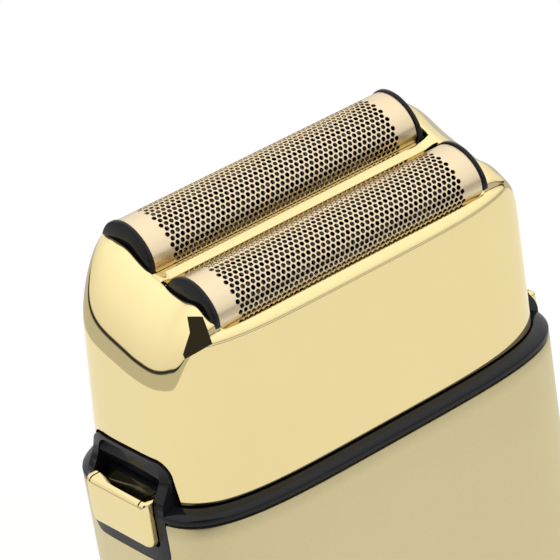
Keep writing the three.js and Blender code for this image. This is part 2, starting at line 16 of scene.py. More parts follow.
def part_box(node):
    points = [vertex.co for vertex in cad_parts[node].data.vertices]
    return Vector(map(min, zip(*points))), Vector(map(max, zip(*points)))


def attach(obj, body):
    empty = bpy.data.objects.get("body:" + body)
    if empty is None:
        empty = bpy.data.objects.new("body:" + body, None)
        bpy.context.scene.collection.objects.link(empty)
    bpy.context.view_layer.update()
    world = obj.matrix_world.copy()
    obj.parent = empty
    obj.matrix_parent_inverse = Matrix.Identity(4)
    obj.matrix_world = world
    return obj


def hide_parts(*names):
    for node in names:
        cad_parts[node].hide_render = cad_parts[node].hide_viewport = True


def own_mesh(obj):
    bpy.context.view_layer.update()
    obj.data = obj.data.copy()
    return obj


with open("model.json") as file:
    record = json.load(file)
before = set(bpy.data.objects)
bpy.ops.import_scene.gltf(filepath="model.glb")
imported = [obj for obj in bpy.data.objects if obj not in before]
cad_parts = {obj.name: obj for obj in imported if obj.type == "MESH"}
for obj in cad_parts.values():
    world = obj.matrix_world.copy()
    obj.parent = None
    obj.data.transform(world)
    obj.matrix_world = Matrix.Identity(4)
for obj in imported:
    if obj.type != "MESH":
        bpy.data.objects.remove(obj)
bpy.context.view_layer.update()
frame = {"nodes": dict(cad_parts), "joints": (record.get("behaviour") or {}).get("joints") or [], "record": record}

MM = 0.001
COLUMNS = 480  # points round a body or head outline
SHARP_ANGLE = math.radians(38)


# ---- The frame's sizes, in millimetres ----
def box_mm(node):
    low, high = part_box(node)
    return low / MM, high / MM


def joint(name):
    return next(j for j in frame["joints"] if j["name"] == name)


def tilted_box_mm(node, turn):
    """Lowest and highest corner of a node once the head's tilt is taken out of it."""
    upright = turn.inverted()
    corners = np.array([upright @ (v.co / MM) for v in frame["nodes"][node].data.vertices])
    return corners.min(axis=0), corners.max(axis=0)


FLOAT_AXIS = joint("front_cutter_float")["axis"]
TILT = math.atan2(-FLOAT_AXIS[1], FLOAT_AXIS[2])
TURN = Matrix.Rotation(TILT, 3, "X")

SHELL_LOW, SHELL_HIGH = box_mm("body_shell")
RING_LOW_CORNER, RING_HIGH_CORNER = box_mm("trim_ring")
COVER_LOW, COVER_HIGH = box_mm("head_cover")
FRONT_FOIL_LOW, FRONT_FOIL_HIGH = tilted_box_mm("front_foil", TURN)
REAR_FOIL_LOW, REAR_FOIL_HIGH = tilted_box_mm("rear_foil", TURN)
LEFT_BUTTON_LOW, LEFT_BUTTON_HIGH = box_mm("left_release_button")

RING_X = SHELL_HIGH.x
RING_Y = SHELL_HIGH.y
RING_LOW = SHELL_HIGH.z + 0.3
RING_HIGH = RING_LOW + 1.5
CORNER_POWER = 4.2  # superellipse power of the body and of the head's lower edge

HEAD_X = COVER_HIGH.x
HEAD_Y = -COVER_LOW.y
HEAD_LOW = COVER_LOW.z
HEAD_WALL = 1.25
SHOULDER_X = HEAD_X - 0.4
SHOULDER_Y = HEAD_Y - 1.3
SHOULDER_REAR_Y = 12.0
SHOULDER_POWER = 4.5
END_DROP = 8.5  # how far down the rounded ends reach
EDGE_DROP = 0.5
LIP_GROOVE = 0.06  # depth of the fine groove under the front lip

FOIL_HALF_LENGTH = FRONT_FOIL_HIGH[0]
FOIL_HALF_WIDTH = (FRONT_FOIL_HIGH[1] - FRONT_FOIL_LOW[1]) / 2
FOIL_RISE = 3.72
FOIL_SKIRT = FRONT_FOIL_HIGH[2] - FRONT_FOIL_LOW[2] - FOIL_RISE
FOIL_Y = (REAR_FOIL_LOW[1] - FRONT_FOIL_LOW[1]) / 2
ROWS = {"front": -FOIL_Y, "rear": FOIL_Y}
ENDS = {"left": -1, "right": 1}
LIP_Y = (FRONT_FOIL_LOW[1] + REAR_FOIL_HIGH[1]) / 2
LIP_CENTRE = TURN @ Vector((0, LIP_Y, FRONT_FOIL_HIGH[2] - FOIL_RISE))
FROM_TILTED = Matrix.Translation(LIP_CENTRE) @ TURN.to_4x4()
TO_TILTED = FROM_TILTED.inverted()

BAY_X = 22.6
BAY_Y = 11.15
BAY_CORNER_POWER = 14
RIM_ROUND = 0.3
BAR_HALF_WIDTH = 0.75
BAR_FOOT_HALF_WIDTH = 1.58

BUTTON_FACE_X = LEFT_BUTTON_LOW.x * -1
BUTTON_HALF_Y = 6.0
BUTTON_LOW = LEFT_BUTTON_LOW.z + 0.9
BUTTON_HIGH = LEFT_BUTTON_HIGH.z - 0.6
BEZEL_LOW = RING_LOW_CORNER.z
BEZEL_HIGH = RING_HIGH_CORNER.z
BEZEL_HALF_Y = 7.7
BEZEL_INNER_X = 28.2


# ---- Curves ----
def smoothstep(value, low, high):
    t = np.clip((value - low) / (high - low), 0, 1)
    return t * t * (3 - 2 * t)


def outline(half_x, half_y, power, count=COLUMNS):
    """Points evenly spaced along a superellipse, anticlockwise from +X."""
    angle = np.linspace(0, math.pi / 2, 6001)
    x = half_x * np.clip(np.cos(angle), 0, 1) ** (2 / power)
    y = half_y * np.clip(np.sin(angle), 0, 1) ** (2 / power)
    length = np.concatenate([[0], np.cumsum(np.hypot(np.diff(x), np.diff(y)))])
    places = np.linspace(0, length[-1], count // 4 + 1)
    quarter = np.stack([np.interp(places, length, x), np.interp(places, length, y)], axis=1)
    back = quarter[::-1]
    return np.concatenate(
        [
            quarter[:-1],
            back[:-1] * (-1, 1),
            quarter[:-1] * (-1, -1),
            back[:-1] * (1, -1),
        ]
    )


def rounded_rectangle(half_width, low, high, low_radius, high_radius, steps=8):
    """An outline in width and height with its own corner radius below and above, anticlockwise."""
    corners = [
        (half_width - low_radius, low + low_radius, low_radius, -90),
        (half_width - high_radius, high - high_radius, high_radius, 0),
        (-half_width + high_radius, high - high_radius, high_radius, 90),
        (-half_width + low_radius, low + low_radius, low_radius, 180),
    ]
    points = []
    for across, up, radius, start in corners:
        for step in range(steps + 1):
            angle = math.radians(start + 90 * step / steps)
            points.append((across + radius * math.cos(angle), up + radius * math.sin(angle)))
    return np.array(points)


def level(points, z):
    return np.column_stack([points, np.full(len(points), z)])


def moved(points, matrix):
    flat = np.asarray(points, float).reshape(-1, 3)
    turned = flat @ np.array(matrix.to_3x3()).T + np.array(matrix.to_translation())
    return turned.reshape(np.shape(points))


# ---- Meshes ----
def new_object(name, points_mm, faces):
    mesh = bpy.data.meshes.new(name)
    mesh.from_pydata((np.asarray(points_mm, float).reshape(-1, 3) * MM).tolist(), [], faces)
    mesh.update()
    obj = bpy.data.objects.new(name, mesh)
    bpy.context.scene.collection.objects.link(obj)
    return obj


def grid_faces(rows, columns, around=True, closed_rows=False):
    """Quads between neighbouring points of a grid whose rows are stored one after another."""
    faces = []
    for row in range(rows if closed_rows else rows - 1):
        upper = (row + 1) % rows
        for column in range(columns if around else columns - 1):
            nxt = (column + 1) % columns
            faces.append(
                (
                    row * columns + column,
                    row * columns + nxt,
                    upper * columns + nxt,
                    upper * columns + column,
                )
            )
    return faces


def hollow_loft(name, rings):
    """A closed tube-like solid: each ring joins the next, and the last joins the first."""
    return new_object(name, np.array(rings), grid_faces(len(rings), len(rings[0]), closed_rows=True))


def capped_loft(name, rings):
    """A solid through a stack of rings, closed at both ends by a fan round a middle point."""
    count = len(rings[0])
    faces = grid_faces(len(rings), count)
    points = list(np.array(rings).reshape(-1, 3))
    for ring, first, forward in ((rings[0], 0, False), (rings[-1], (len(rings) - 1) * count, True)):
        points.append(np.mean(ring, axis=0))
        hub = len(points) - 1
        for i in range(count):
            a, b = first + i, first + (i + 1) % count
            faces.append((hub, a, b) if forward else (hub, b, a))
    return new_object(name, np.array(points), faces)


def baked(obj):
    """Applies the object's modifiers to its mesh."""
    graph = bpy.context.evaluated_depsgraph_get()
    mesh = bpy.data.meshes.new_from_object(obj.evaluated_get(graph), depsgraph=graph)
    obj.modifiers.clear()
    obj.data = mesh
    return obj


def combine(obj, other, operation):
    """Cuts, joins or intersects obj with other, which is used up."""
    modifier = obj.modifiers.new("combine", "BOOLEAN")
    modifier.operation = operation
    modifier.solver = "EXACT"
    modifier.object = other
    bpy.context.view_layer.update()
    baked(obj)
    bpy.data.objects.remove(other)
    return obj


def bevelled(obj, width, segments=2, angle=40):
    modifier = obj.modifiers.new("bevel", "BEVEL")
    modifier.width = width * MM
    modifier.segments = segments
    modifier.limit_method = "ANGLE"
    modifier.angle_limit = math.radians(angle)
    modifier.use_clamp_overlap = True
    return baked(obj)


def out_of_tilt(obj):
    """Takes a mesh from the head's tilted frame to the shaver's own."""
    to_metres = Matrix.Diagonal((MM, MM, MM, 1))
    to_millimetres = Matrix.Diagonal((1 / MM, 1 / MM, 1 / MM, 1))
    obj.data.transform(to_metres @ FROM_TILTED @ to_millimetres)


def outward(obj):
    shape = bmesh.new()
    shape.from_mesh(obj.data)
    bmesh.ops.recalc_face_normals(shape, faces=shape.faces)
    shape.to_mesh(obj.data)
    shape.free()
    return obj


def piece(obj, material, body, nodes=(), angle=SHARP_ANGLE):
    """Shades the object, gives it its material and makes it ride on its body in place of CAD nodes."""
    obj.data.materials.clear()
    obj.data.materials.append(MATERIALS[material])
    obj.data.shade_smooth()
    obj.data.set_sharp_from_angle(angle=angle)
    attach(obj, body)
    if nodes:
        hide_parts(*nodes)
    return obj


def mirrored_x(points):
    """The same outline points turned half round Z, for the other end of the shaver."""
    return np.asarray(points) * (-1, -1, 1)


def on_side(points, side):
    return np.asarray(points, float) if side > 0 else mirrored_x(points)


# ---- Materials ----
class Nodes:
    """A short hand for building one material's nodes."""

    def __init__(self, name):
        self.material = bpy.data.materials.new(name)
        self.material.use_nodes = True
        self.tree = self.material.node_tree
        self.shader = self.tree.nodes["Principled BSDF"]
        self.place = self.add("ShaderNodeTexCoord").outputs["Object"]

    def add(self, kind, **settings):
        node = self.tree.nodes.new(kind)
        for key, value in settings.items():
            setattr(node, key, value)
        return node

    def link(self, source, target):
        self.tree.links.new(source, target)

    def stretched(self, scale):
        mapping = self.add("ShaderNodeMapping")
        mapping.inputs["Scale"].default_value = scale
        self.link(self.place, mapping.inputs["Vector"])
        return mapping.outputs["Vector"]

    def noise(self, scale, detail=3.0, stretch=None):
        node = self.add("ShaderNodeTexNoise")
        node.inputs["Scale"].default_value = scale
        node.inputs["Detail"].default_value = detail
        self.link(self.stretched(stretch) if stretch else self.place, node.inputs["Vector"])
        return node.outputs["Fac"]

    def ranged(self, value, low, high, start=0.3, end=0.7):
        node = self.add("ShaderNodeMapRange")
        node.inputs["From Min"].default_value = start
        node.inputs["From Max"].default_value = end
        node.inputs["To Min"].default_value = low
        node.inputs["To Max"].default_value = high
        self.link(value, node.inputs["Value"])
        return node.outputs["Result"]

    def colours(self, value, first, second):
        node = self.add("ShaderNodeMix", data_type="RGBA")
        node.inputs[6].default_value = (*first, 1)
        node.inputs[7].default_value = (*second, 1)
        self.link(value, node.inputs[0])
        return node.outputs[2]

    def bump(self, height, strength, distance):
        node = self.add("ShaderNodeBump")
        node.inputs["Strength"].default_value = strength
        node.inputs["Distance"].default_value = distance
        self.link(height, node.inputs["Height"])
        self.link(node.outputs["Normal"], self.shader.inputs["Normal"])

    def set(self, **values):
        for key, value in values.items():
            self.shader.inputs[key.replace("_", " ")].default_value = value


def mirror_gold():
    """Polished plating: a very smooth metal with faint handling haze."""
    m = Nodes("mirror_gold")
    m.set(Metallic=1.0)
    haze = m.noise(60, 4)
    m.link(m.ranged(haze, 0.035, 0.075), m.shader.inputs["Roughness"])
    m.link(m.colours(haze, (0.80, 0.66, 0.335), (0.83, 0.69, 0.355)), m.shader.inputs["Base Color"])
    return m.material


def satin_gold():
    """Anodised body: a blasted satin surface with a fine grain."""
    m = Nodes("satin_gold")
    m.set(Metallic=1.0)
    grain = m.noise(5200, 2)
    cloud = m.noise(45, 3)
    m.link(m.ranged(cloud, 0.36, 0.42), m.shader.inputs["Roughness"])
    m.link(m.colours(grain, (0.63, 0.535, 0.30), (0.70, 0.60, 0.35)), m.shader.inputs["Base Color"])
    m.bump(grain, 0.25, 0.00002)
    return m.material


def foil_metal():
    """Thin plated foil, faintly brushed along its length."""
    m = Nodes("foil_metal")
    m.set(Metallic=1.0)
    brushed = m.noise(900, 3, (0.04, 1, 1))
    m.link(m.ranged(brushed, 0.26, 0.36), m.shader.inputs["Roughness"])
    m.link(m.colours(brushed, (0.73, 0.595, 0.385), (0.81, 0.675, 0.465)), m.shader.inputs["Base Color"])
    m.bump(brushed, 0.08, 0.00001)
    return m.material


def plastic(name, dark, light, roughness, grain_scale, bump_strength, specular=0.5):
    """A moulding with a fine grain in its colour, gloss and surface."""
    m = Nodes(name)
    m.set(Specular_IOR_Level=specular)
    grain = m.noise(grain_scale, 3)
    m.link(m.colours(grain, dark, light), m.shader.inputs["Base Color"])
    m.link(m.ranged(grain, roughness[0], roughness[1]), m.shader.inputs["Roughness"])
    m.bump(grain, bump_strength, 0.00002)
    return m.material


def metal(name, dark, light, roughness, stretch):
    """Bare metal with fine drawing or grinding marks along one direction."""
    m = Nodes(name)
    m.set(Metallic=1.0)
    marks = m.noise(1400, 3, stretch)
    m.link(m.colours(marks, dark, light), m.shader.inputs["Base Color"])
    m.link(m.ranged(marks, roughness[0], roughness[1]), m.shader.inputs["Roughness"])
    m.bump(marks, 0.1, 0.00001)
    return m.material


def board_green():
    """Solder mask over a pattern of copper tracks."""
    m = Nodes("board_green")
    tracks = m.add("ShaderNodeTexBrick")
    tracks.inputs["Scale"].default_value = 260
    tracks.inputs["Mortar Size"].default_value = 0.04
    tracks.inputs["Color1"].default_value = (0.01, 0.13, 0.05, 1)
    tracks.inputs["Color2"].default_value = (0.012, 0.17, 0.06, 1)
    tracks.inputs["Mortar"].default_value = (0.03, 0.27, 0.10, 1)
    turn = m.add("ShaderNodeMapping")
    turn.inputs["Rotation"].default_value = (math.radians(90), 0, 0)
    m.link(m.place, turn.inputs["Vector"])
    m.link(turn.outputs["Vector"], tracks.inputs["Vector"])
    m.link(tracks.outputs["Color"], m.shader.inputs["Base Color"])
    m.set(Roughness=0.4)
    m.bump(tracks.outputs["Fac"], 0.2, 0.00003)
    return m.material


def battery_wrap():
    """Shrink wrap with a faint waviness."""
    m = Nodes("battery_wrap")
    wave = m.noise(240, 3)
    m.link(m.colours(wave, (0.03, 0.15, 0.36), (0.05, 0.20, 0.44)), m.shader.inputs["Base Color"])
    m.link(m.ranged(wave, 0.25, 0.35), m.shader.inputs["Roughness"])
    m.bump(wave, 0.2, 0.00005)
    return m.material


def clear_lens():
    """A clear moulding, a little cloudy inside."""
    m = Nodes("clear_lens")
    m.set(Transmission_Weight=0.85, IOR=1.49)
    cloud = m.noise(700, 2)
    m.link(m.ranged(cloud, 0.12, 0.22), m.shader.inputs["Roughness"])
    m.link(m.colours(cloud, (0.86, 0.86, 0.84), (0.95, 0.95, 0.93)), m.shader.inputs["Base Color"])
    return m.material


MATERIALS = {
    "mirror_gold": mirror_gold(),
    "satin_gold": satin_gold(),
    "foil_metal": foil_metal(),
    "gloss_black": plastic(
        "gloss_black", (0.006, 0.006, 0.008), (0.010, 0.010, 0.012), (0.14, 0.2), 2600, 0.03, 0.24
    ),
    "matte_black": plastic(
        "matte_black", (0.016, 0.016, 0.017), (0.026, 0.026, 0.028), (0.42, 0.55), 3800, 0.25
    ),
    "steel": metal("steel", (0.50, 0.50, 0.50), (0.62, 0.62, 0.61), (0.24, 0.36), (1, 1, 0.08)),
    "spring_steel": metal("spring_steel", (0.42, 0.42, 0.43), (0.55, 0.55, 0.56), (0.2, 0.3), (1, 1, 1)),
    "blade_steel": metal("blade_steel", (0.05, 0.05, 0.052), (0.09, 0.09, 0.093), (0.2, 0.3), (0.2, 1, 1)),
    "white_plastic": plastic(
        "white_plastic", (0.62, 0.60, 0.54), (0.72, 0.70, 0.64), (0.40, 0.50), 1800, 0.08
    ),
    "seal_rubber": plastic(
        "seal_rubber", (0.014, 0.014, 0.014), (0.024, 0.024, 0.024), (0.65, 0.8), 3000, 0.3
    ),
    "board_green": board_green(),
    "battery_wrap": battery_wrap(),
    "clear_lens": clear_lens(),
}


# ---- Head cover ----
def lobe_share(x, y):
    """1 in the middle of each rounded end, 0 along the front and the back."""
    front = (1 - 0.19 * (y / 8.1) ** 2) * (1 - smoothstep(-y, 8.8, 11.5))
    rear = smoothstep(np.abs(x), 20.5, 28.5)
    return np.where(y < 0, front, rear)


def shoulder_drop(x, y):
    """How far the rounding reaches down the wall: far at the ends, little at front and back."""
    return EDGE_DROP + (END_DROP - EDGE_DROP) * np.clip(lobe_share(x, y), 0, 1)


def rim_height(x, y):
    """A low hump over each foil at the ends of the bay, and level at front and back."""
    end = smoothstep(np.abs(x), BAY_X - 2, BAY_X)
    front_corner = smoothstep(np.abs(x) / BAY_X + y / BAY_Y, -0.06, 0.05)
    end = np.where(y < 0, front_corner, end)
    rear_hump = 0.6 * np.exp(-(((y - 5.8) / 2.2) ** 2))
    front_hump = 1.2 * np.exp(-(((y + 7.8) / 2.0) ** 2))
    dip = 0.15 * np.exp(-(((y + 2.6) / 1.3) ** 2))
    fall = 0.9 * smoothstep(y, 8.0, 11.2)
    return 0.1 + end * (0.9 + rear_hump + front_hump - dip - fall)


def lip_groove(start, base, top):
    """Rings just under the shoulder, with a fine groove along the front that fades out at its ends."""
    up = (start - base) / np.linalg.norm(start - base, axis=1)[:, None]
    front = smoothstep(-top[:, 1], 8.0, 11.0) * smoothstep(-np.abs(top[:, 0]), -25.5, -23.5)
    nick = np.column_stack([np.zeros(COLUMNS), LIP_GROOVE * front, np.zeros(COLUMNS)])
    return [start - 0.24 * up, start - 0.14 * up, start - 0.05 * up + nick]


def head_rings(inset, sink, wall_steps, arc_steps):
    """Rings up the wall and over the shoulder to the bay's rim, tangent to the wall at its start."""
    low = level(outline(HEAD_X - inset, HEAD_Y - inset, CORNER_POWER), HEAD_LOW)
    base = moved(low, TO_TILTED)
    top = level(outline(SHOULDER_X - inset, SHOULDER_Y - 0.8 * inset, SHOULDER_POWER), 0.0)
    rear_share = (SHOULDER_REAR_Y - 0.8 * inset) / (SHOULDER_Y - 0.8 * inset)
    top[:, 1] = np.where(top[:, 1] > 0, top[:, 1] * rear_share, top[:, 1])
    rim_gap = RIM_ROUND if inset == 0 else 0.1
    rim_xy = outline(BAY_X + rim_gap, BAY_Y + rim_gap, BAY_CORNER_POWER)
    rim_z = rim_height(rim_xy[:, 0], rim_xy[:, 1]) if sink == 0 else np.full(COLUMNS, -sink)
    rim = np.column_stack([rim_xy, rim_z])

    def up_the_wall(z):
        share = (z - base[:, 2]) / -base[:, 2]
        return base + (top - base) * share[:, None]

    start = up_the_wall(-shoulder_drop(top[:, 0], top[:, 1]) - sink)
    corner = up_the_wall(rim_z)
    lobe = smoothstep(lobe_share(top[:, 0], top[:, 1]), 0.0, 0.6)[:, None]
    rear = smoothstep(top[:, 1], 4.0, 10.0)[:, None]
    reach = 0.55 - lobe * (0.30 - 0.22 * rear)
    leaving = start + 0.55 * (corner - start)
    arriving = rim + reach * (corner - rim)
    rings = [base + (start - base) * (i / wall_steps) for i in range(wall_steps)]
    if inset == 0:
        rings += lip_groove(start, base, top)
    for i in range(arc_steps + 1):
        t = i / arc_steps
        a, b, c, d = (1 - t) ** 3, 3 * t * (1 - t) ** 2, 3 * t**2 * (1 - t), t**3
        rings.append(a * start + b * leaving + c * arriving + d * rim)
    return rings


def bay_wall():
    """Rings that round the rim off and lead down the inside of the bay."""
    rings = []
    for angle in np.linspace(0, math.pi / 2, 5)[1:]:
        inset = RIM_ROUND * (1 - math.sin(angle))
        xy = outline(BAY_X + inset, BAY_Y + inset, BAY_CORNER_POWER)
        z = rim_height(xy[:, 0], xy[:, 1]) - RIM_ROUND * (1 - math.cos(angle))
        rings.append(np.column_stack([xy, z]))
    rings.append(level(outline(BAY_X, BAY_Y, BAY_CORNER_POWER), -0.3))
    rings.append(level(outline(BAY_X - 0.03, BAY_Y - 0.27, BAY_CORNER_POWER), -0.38))
    rings.append(level(outline(BAY_X - 0.03, BAY_Y - 0.27, BAY_CORNER_POWER), -1.0))
    return rings


def notch_cutter(side):
    """What is taken out of the head's end for the release button: rounded above, flared below."""
    top = BEZEL_HIGH + 0.3
    points = rounded_rectangle(BEZEL_HALF_Y + 0.3, HEAD_LOW - 2, top, 0.1, 2.4, 12)
    flare = 0.8 * np.exp(-np.clip(points[:, 1] - HEAD_LOW, 0, None) / 0.7)
    across = points[:, 0] + np.sign(points[:, 0]) * flare
    rings = [np.column_stack([np.full(len(points), x), across, points[:, 1]]) for x in (26.5, 33.0)]
    return outward(capped_loft("notch", [on_side(ring, side) for ring in rings]))


FACET_FOOT = Vector((-22.82, -9.07, 1.68))
FACET_NORMAL = Vector((-0.515, -0.527, 0.677))
FACET_PLAN = ((-24.3, -7.9), (-22.9, -9.1), (-23.3, -11.6), (-26.5, -10.5), (-26.45, -10.1), (-24.8, -9.2))


def facet_cutter():
    """What is taken off the front left corner, between the rounded end and the lip: a flat facet."""
    n = FACET_NORMAL
    bottom = []
    for x, y in FACET_PLAN:
        z = FACET_FOOT.z - (n.x * (x - FACET_FOOT.x) + n.y * (y - FACET_FOOT.y)) / n.z
        bottom.append((x, y, z))
    bottom = np.array(bottom)
    middle = bottom.mean(axis=0)
    top = middle + (bottom - middle) * 1.12 + np.array(n) * 2.0
    rings = [moved(ring, FROM_TILTED) for ring in (bottom, top)]
    return outward(capped_loft("facet", rings))


def head_cover():
    outside = head_rings(0, 0, 26, 40)
    inside = head_rings(HEAD_WALL, 1.4, 6, 10)
    rings = outside + bay_wall() + inside[::-1]
    cover = outward(hollow_loft("head_cover_shell", [moved(ring, FROM_TILTED) for ring in rings]))
    for side in ENDS.values():
        combine(cover, notch_cutter(side), "DIFFERENCE")
    combine(cover, facet_cutter(), "DIFFERENCE")
    return piece(cover, "mirror_gold", "head", ["head_cover"])


def bar_section(half_width, top, foot):
    """A narrow rounded bar standing on a wider foot between the foils, anticlockwise."""
    crest = rounded_rectangle(half_width, -0.1, top, 0.02, 0.14, 5)
    crest = crest[6:18]
    shelf = max(foot, half_width + 0.04)
    right = [(shelf, -3.0), (shelf, -0.24), (shelf - 0.04, -0.2), (half_width, -0.15)]
    left = [(-x, z) for x, z in right[::-1]]
    return np.array(right + crest.tolist() + left)


def head_bar():
    """The bar between the foils, which widens and rises a little where it meets the ends."""
    rings = []
    stations = np.concatenate([np.linspace(-BAY_X - 0.25, -BAY_X + 2.2, 18), np.linspace(-20, 20, 21)])
    stations = np.unique(np.concatenate([stations, -stations]))
    for x in stations:
        end = float(smoothstep(abs(x), BAY_X - 2, BAY_X))
        half = BAR_HALF_WIDTH + 0.15 * math.exp(-max(0.0, BAY_X - abs(x)) / 0.35)
        foot = BAR_FOOT_HALF_WIDTH if abs(x) < FOIL_HALF_LENGTH - 0.1 else 0.0
        section = bar_section(half, 0.45 + 0.45 * end, foot)
        rings.append(np.column_stack([np.full(len(section), x), section]))
    bar = outward(capped_loft("head_cover_bar", [moved(ring, FROM_TILTED) for ring in rings]))
    return piece(bar, "mirror_gold", "head")


# ---- Foils ----
FOIL_THICKNESS = 0.12
HOLE_PITCH = 0.8
HOLE_RADIUS = 0.325
HOLE_SIDES = 12
HOLES_ALONG = 46
HOLE_ROWS = 21


def arch(half_width, rise, skirt, count=600):
    """The foil's section from its front skirt over the arch to its rear skirt, with its length."""
    angle = np.linspace(math.pi, 0, count)
    y = np.concatenate([[-half_width], half_width * np.cos(angle), [half_width]])
    z = np.concatenate([[-skirt], rise * np.sin(angle), [-skirt]])
    length = np.concatenate([[0], np.cumsum(np.hypot(np.diff(y), np.diff(z)))])
    return y, z, length


def foil_point_maker(centre_y):
    y, z, length = arch(FOIL_HALF_WIDTH, FOIL_RISE, FOIL_SKIRT)
    out_y = np.gradient(z, length)
    out_z = -np.gradient(y, length)
    size = np.hypot(out_y, out_z)
    out_y, out_z = -out_y / size, -out_z / size

    def place(along, around, depth):
        py = np.interp(around, length, y) - depth * np.interp(around, length, out_y)
        pz = np.interp(around, length, z) - depth * np.interp(around, length, out_z)
        return np.column_stack([along, centre_y + py, pz])

    return place, length[-1]


def perforated_sheet(along_end):
    """Flat plan of one foil: points in along and around, its faces, and each hole's ring of points."""
    row_step = HOLE_PITCH * math.sqrt(3) / 2
    half_field = (HOLES_ALONG + 0.5) * HOLE_PITCH / 2
    field = HOLE_ROWS * row_step
    points, faces, holes = [], [], []

    def add(u, v):
        points.append((u, v))
        return len(points) - 1

    line_heights = [-field / 2 + i * row_step for i in range(HOLE_ROWS + 1)]
    across = [-half_field + h * HOLE_PITCH / 2 for h in range(2 * HOLES_ALONG + 2)]
    lines = []
    for v in line_heights:
        lines.append([add(-along_end, v)] + [add(u, v) for u in across] + [add(along_end, v)])
    for row in range(HOLE_ROWS):
        below, above = lines[row], lines[row + 1]
        first = 1 + row % 2
        last = first + 2 * HOLES_ALONG
        faces.append(below[: first + 1] + above[: first + 1][::-1])
        faces.append(below[last:] + above[last:][::-1])
        middle = (line_heights[row] + line_heights[row + 1]) / 2
        for left in range(first, last, 2):
            u = across[left]
            hole = []
            for k in range(HOLE_SIDES):
                angle = 2 * math.pi * k / HOLE_SIDES
                hole.append(add(u + HOLE_RADIUS * math.cos(angle), middle + HOLE_RADIUS * math.sin(angle)))
            rim = [above[left + i] for i in (2, 1, 0)] + [below[left + i] for i in (0, 1, 2)]
            for k in range(6):
                a, b = rim[k], rim[(k + 1) % 6]
                h0, h1, h2 = (hole[(2 * k + 1 + i) % HOLE_SIDES] for i in range(3))
                faces += [[a, b, h1], [a, h1, h0], [b, h2, h1]]
            holes.append(hole)
    return points, faces, holes, lines


def foil(row, centre_y):
    place, around = foil_point_maker(centre_y)
    points, faces, holes, lines = perforated_sheet(FOIL_HALF_LENGTH)
    middle = around / 2
    edges = [lines[0], lines[-1]]
    for edge, limit in ((0, -middle), (1, middle)):
        steps = 4
        start = points[edges[edge][0]][1]
        previous = edges[edge]
        for step in range(1, steps + 1):
            v = start + (limit - start) * step / steps
            ends = [len(points), len(points) + 1]
            points += [(-FOIL_HALF_LENGTH, v), (FOIL_HALF_LENGTH, v)]
            strip = previous + ends[::-1]
            faces.append(strip if edge == 1 else strip[::-1])
            previous = ends
    flat = np.array(points)
    count = len(flat)
    outer = place(flat[:, 0], flat[:, 1] + middle, 0.0)
    inner = place(flat[:, 0], flat[:, 1] + middle, FOIL_THICKNESS)
    both = faces + [[i + count for i in face[::-1]] for face in faces]
    for hole in holes:
        for k in range(HOLE_SIDES):
            a, b = hole[k], hole[(k + 1) % HOLE_SIDES]
            both.append([a, b, b + count, a + count])
    sheet = new_object(f"{row}_foil_sheet", np.concatenate([outer, inner]), both)
    close_border(sheet, count)
    out_of_tilt(sheet)
    outward(sheet)
    return piece(sheet, "foil_metal", "head", [f"{row}_foil"])


def close_border(sheet, count):
    """Joins the outer and the inner skin along the sheet's open edges."""
    shape = bmesh.new()
    shape.from_mesh(sheet.data)
    shape.verts.ensure_lookup_table()
    border = [e for e in shape.edges if len(e.link_faces) == 1]
    for edge in border:
        a, b = (v.index for v in edge.verts)
        if a < count and b < count:
            corners = (shape.verts[a], shape.verts[b], shape.verts[b + count], shape.verts[a + count])
            shape.faces.new(corners)
    shape.to_mesh(sheet.data)
    shape.free()


def foil_cap(row, centre_y, end, side):
    """A black arch that stands a little proud of its foil's end and is thinner at its crown."""
    near, far = FOIL_HALF_LENGTH + 0.08, BAY_X - 0.12
    round_by = 0.22
    rings = []
    steps = [(near, round_by), (near + 0.1, 0.06), (near + round_by, 0.0)]
    steps += [(far - round_by, 0.0), (far - 0.1, 0.06), (far, round_by)]
    for x, inset in steps:
        y, z, _ = arch(FOIL_HALF_WIDTH + 0.12 - inset, FOIL_RISE + 0.30 - inset, 0.9, 40)
        flare = 0.5 * np.exp(-np.clip(z, 0, None) / 0.5)
        y = y - np.sign(centre_y) * np.where(y * centre_y < 0, flare, 0.0)
        taper = 0.45 * (x - near) / (far - near) * np.clip(z / FOIL_RISE, 0, 1)
        rings.append(np.column_stack([(x - taper) * side, y + centre_y, z]))
    name = f"{row}_foil_{end}_arch"
    cap = outward(capped_loft(name, [moved(ring, FROM_TILTED) for ring in rings]))
    return piece(cap, "gloss_black", "head", [f"{row}_foil_{end}_cap"])


# ---- Cutters ----
BLADES = 44


def cutter(row, centre_y):
    """A block of thin arched blades on a spine."""
    low, high = tilted_box_mm(f"{row}_cutter", TURN)
    half_length = high[0]
    half_width = (high[1] - low[1]) / 2
    rise = 3.0
    points, faces = [], []
    pitch = 2 * half_length / BLADES
    for i in range(BLADES):
        x0 = -half_length + i * pitch
        for x in (x0, x0 + 0.45 * pitch):
            y, z, _ = arch(half_width, rise, 0.5, 22)
            points += list(zip(np.full(len(y), x), y + centre_y, z))
        count = len(y)
        first = 2 * i * count
        faces += [tuple(v + first for v in face) for face in grid_faces(2, count)]
        faces.append(tuple(range(first, first + count))[::-1])
        faces.append(tuple(range(first + count, first + 2 * count)))
    blades = new_object(f"{row}_cutter_blades", np.array(points), faces)
    spine_rings = []
    for x in (-half_length, half_length):
        section = rounded_rectangle(1.2, -1.25, 0.9, 0.2, 0.2, 3)
        along = np.full(len(section), x)
        spine_rings.append(np.column_stack([along, section[:, 0] + centre_y, section[:, 1]]))
    spine = outward(capped_loft("spine", spine_rings))
    outward(blades)
    joined = bmesh.new()
    joined.from_mesh(blades.data)
    joined.from_mesh(spine.data)
    joined.to_mesh(blades.data)
    joined.free()
    bpy.data.objects.remove(spine)
    out_of_tilt(blades)
    return piece(blades, "blade_steel", f"{row}_blades", [f"{row}_cutter"])


